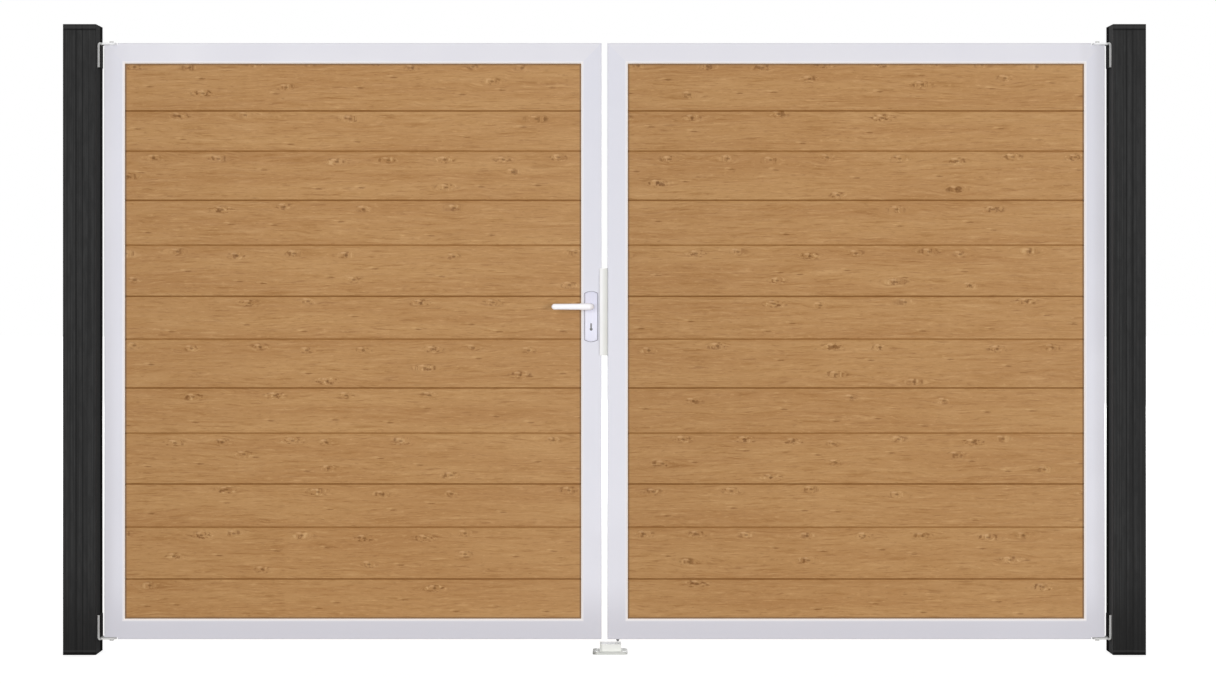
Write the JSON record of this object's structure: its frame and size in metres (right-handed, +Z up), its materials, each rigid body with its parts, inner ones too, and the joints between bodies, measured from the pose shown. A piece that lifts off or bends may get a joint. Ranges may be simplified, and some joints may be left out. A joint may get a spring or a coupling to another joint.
{
  "type": "double gate",
  "caption": "Double swing gate: framed leaves filled with wood-look boards, hung on straps between square posts, with a lever lock, a keep and a drop bolt.",
  "frame": {"origin": "centre of the underside of the left post's foot plate, on the ground", "axes": "+X along the gate from the left post to the right post as seen from the front, +Y from the front to the back, the way both leaves open, +Z up"},
  "size_m": [3.24, 0.148, 1.887],
  "materials": {
    "post_paint": "matt anthracite powder coat",
    "frame_metal": "satin silver",
    "oak_board": "golden oak, satin",
    "lever_metal": "bright satin",
    "fitting_metal": "galvanised, dull",
    "dark_metal": "satin black"
  },
  "bodies": {
    "posts": {"left_post": "post_paint", "right_post": "post_paint", "left_post_cap": "post_paint", "right_post_cap": "post_paint", "left_post_foot": "post_paint", "right_post_foot": "post_paint", "left_top_hinge_strap": "fitting_metal", "left_bottom_hinge_strap": "fitting_metal", "right_top_hinge_strap": "fitting_metal", "right_bottom_hinge_strap": "fitting_metal", "bolt_receiver": "fitting_metal"},
    "left_leaf": {"left_hinge_stile": "frame_metal", "left_lock_stile": "frame_metal", "left_top_rail": "frame_metal", "left_bottom_rail": "frame_metal", "left_board_1": "oak_board", "left_board_2": "oak_board", "left_board_3": "oak_board", "left_board_4": "oak_board", "left_board_5": "oak_board", "left_board_6": "oak_board", "left_hinge_blocks": "frame_metal", "front_handle_plate": "lever_metal", "back_handle_plate": "lever_metal", "lock_case": "fitting_metal", "key_cylinder": "dark_metal"},
    "right_leaf": {"right_hinge_stile": "frame_metal", "right_meeting_stile": "frame_metal", "right_top_rail": "frame_metal", "right_bottom_rail": "frame_metal", "right_board_1": "oak_board", "right_board_2": "oak_board", "right_board_3": "oak_board", "right_board_4": "oak_board", "right_board_5": "oak_board", "right_board_6": "oak_board", "right_hinge_blocks": "frame_metal", "lock_keep": "fitting_metal", "keep_strip": "fitting_metal", "drop_bolt_guides": "dark_metal"},
    "lever": {"front_lever": "lever_metal", "back_lever": "lever_metal", "lever_spindle": "fitting_metal"},
    "drop_bolt": {"drop_bolt": "dark_metal"}
  },
  "joints": [
    {"name": "left_leaf_swing", "type": "hinge", "parent": "posts", "child": "left_leaf", "pos_m": [0.0865, 0, 0.9], "axis": [0, 0, 1], "range_deg": [0, 95]},
    {"name": "right_leaf_swing", "type": "hinge", "parent": "posts", "child": "right_leaf", "pos_m": [3.0545, 0, 0.9], "axis": [0, 0, -1], "range_deg": [0, 95]},
    {"name": "lever_turn", "type": "hinge", "parent": "left_leaf", "child": "lever", "pos_m": [1.5305, 0, 1.042], "axis": [0, -1, 0], "range_deg": [0, 40], "stiffness_Nm_per_rad": 2, "springref_deg": -20.05},
    {"name": "drop_bolt_slide", "type": "slide", "parent": "right_leaf", "child": "drop_bolt", "axis": [0, 0, -1], "range_m": [0, 0.024]}
  ]
}
